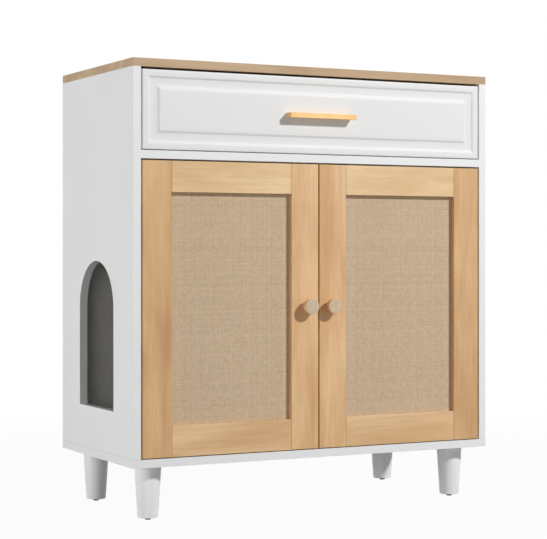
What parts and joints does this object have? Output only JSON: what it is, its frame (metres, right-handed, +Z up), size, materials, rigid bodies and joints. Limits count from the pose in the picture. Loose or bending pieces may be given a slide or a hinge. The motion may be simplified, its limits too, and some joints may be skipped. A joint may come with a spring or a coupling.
{
  "type": "cat litter box cabinet",
  "caption": "Free-standing litter box cabinet on round legs: arched side entrance, inset framed doors with woven panels, and a drawer above on ball-bearing slides.",
  "frame": {"origin": "on the floor, under the middle of the whole object's box", "axes": "+Z up, the doors and the drawer face -Y, +X to the right as one faces the doors, the cat entrance is in the side at -X"},
  "size_m": [0.8, 0.4084, 0.885],
  "materials": {
    "top_wood": "wood-grain foil, satin",
    "white_board": "white melamine, satin",
    "white_leg": "white lacquer on turned wood",
    "drawer_box_board": "white melamine",
    "door_wood": "light beech, clear satin lacquer",
    "woven_cloth": "woven slub cloth in natural straw colour",
    "backing_board": "thin fibreboard",
    "knob_wood": "turned beech, clear satin lacquer",
    "nickel_steel": "nickel-plated steel",
    "zinc_steel": "zinc-plated steel",
    "satin_gold": "satin gold lacquer on die-cast metal",
    "dowel_wood": "fluted beech dowel",
    "dark_glide": "dark moulded plastic",
    "catch_plastic": "white moulded plastic",
    "magnet": "ferrite between steel keepers"
  },
  "bodies": {
    "cabinet": {"back_panel": "white_board", "back_panel_screws": "zinc_steel", "bottom_board": "white_board", "cabinet_fitting_screws": "zinc_steel", "cam_bolts": "zinc_steel", "cam_locks": "zinc_steel", "catch_magnets": "magnet", "divider_shelf": "white_board", "foot_glides": "dark_glide", "front_left_leg": "white_leg", "front_right_leg": "white_leg", "hinge_mounting_plates": "nickel_steel", "left_door_hinge_arms": "nickel_steel", "left_side_panel": "white_board", "left_slide_outer_rail": "zinc_steel", "leg_hanger_bolts": "zinc_steel", "leg_threaded_inserts": "zinc_steel", "magnetic_catch_case": "catch_plastic", "rear_left_leg": "white_leg", "rear_right_leg": "white_leg", "right_door_hinge_arms": "nickel_steel", "right_side_panel": "white_board", "right_slide_outer_rail": "zinc_steel", "top_board": "top_wood", "wood_dowels": "dowel_wood"},
    "left_door": {"left_door_backing_board": "backing_board", "left_door_bottom_rail": "door_wood", "left_door_hinge_cups": "nickel_steel", "left_door_hinge_pins": "nickel_steel", "left_door_hinge_stile": "door_wood", "left_door_knob": "knob_wood", "left_door_meeting_stile": "door_wood", "left_door_screws": "zinc_steel", "left_door_strike_plate": "nickel_steel", "left_door_top_rail": "door_wood", "left_door_woven_panel": "woven_cloth"},
    "right_door": {"right_door_backing_board": "backing_board", "right_door_bottom_rail": "door_wood", "right_door_hinge_cups": "nickel_steel", "right_door_hinge_pins": "nickel_steel", "right_door_hinge_stile": "door_wood", "right_door_knob": "knob_wood", "right_door_meeting_stile": "door_wood", "right_door_screws": "zinc_steel", "right_door_strike_plate": "nickel_steel", "right_door_top_rail": "door_wood", "right_door_woven_panel": "woven_cloth"},
    "drawer": {"drawer_front": "white_board", "drawer_left_side": "drawer_box_board", "drawer_right_side": "drawer_box_board", "drawer_rear_board": "drawer_box_board", "drawer_bottom": "drawer_box_board", "drawer_handle": "satin_gold", "drawer_handle_screws": "zinc_steel", "drawer_dowels": "dowel_wood", "drawer_slide_screws": "zinc_steel", "left_slide_inner_rail": "zinc_steel", "right_slide_inner_rail": "zinc_steel"},
    "left_ball_cage": {"left_slide_ball_cage": "zinc_steel"},
    "right_ball_cage": {"right_slide_ball_cage": "zinc_steel"}
  },
  "joints": [
    {"name": "left_door_swing", "type": "hinge", "parent": "cabinet", "child": "left_door", "pos_m": [-0.3725, -0.17355, 0.40825], "axis": [0, 0, -1], "range_deg": [0, 95]},
    {"name": "right_door_swing", "type": "hinge", "parent": "cabinet", "child": "right_door", "pos_m": [0.3725, -0.17355, 0.40825], "axis": [0, 0, 1], "range_deg": [0, 95]},
    {"name": "drawer_slide", "type": "slide", "parent": "cabinet", "child": "drawer", "axis": [0, -1, 0], "range_m": [0, 0.225]},
    {"name": "left_cage_slide", "type": "slide", "parent": "cabinet", "child": "left_ball_cage", "axis": [0, -1, 0], "range_m": [0, 0.1125]},
    {"name": "right_cage_slide", "type": "slide", "parent": "cabinet", "child": "right_ball_cage", "axis": [0, -1, 0], "range_m": [0, 0.1125]}
  ],
  "couplings": [
    {"joint": "left_cage_slide", "follows": "drawer_slide", "ratio": 0.5},
    {"joint": "right_cage_slide", "follows": "drawer_slide", "ratio": 0.5}
  ]
}
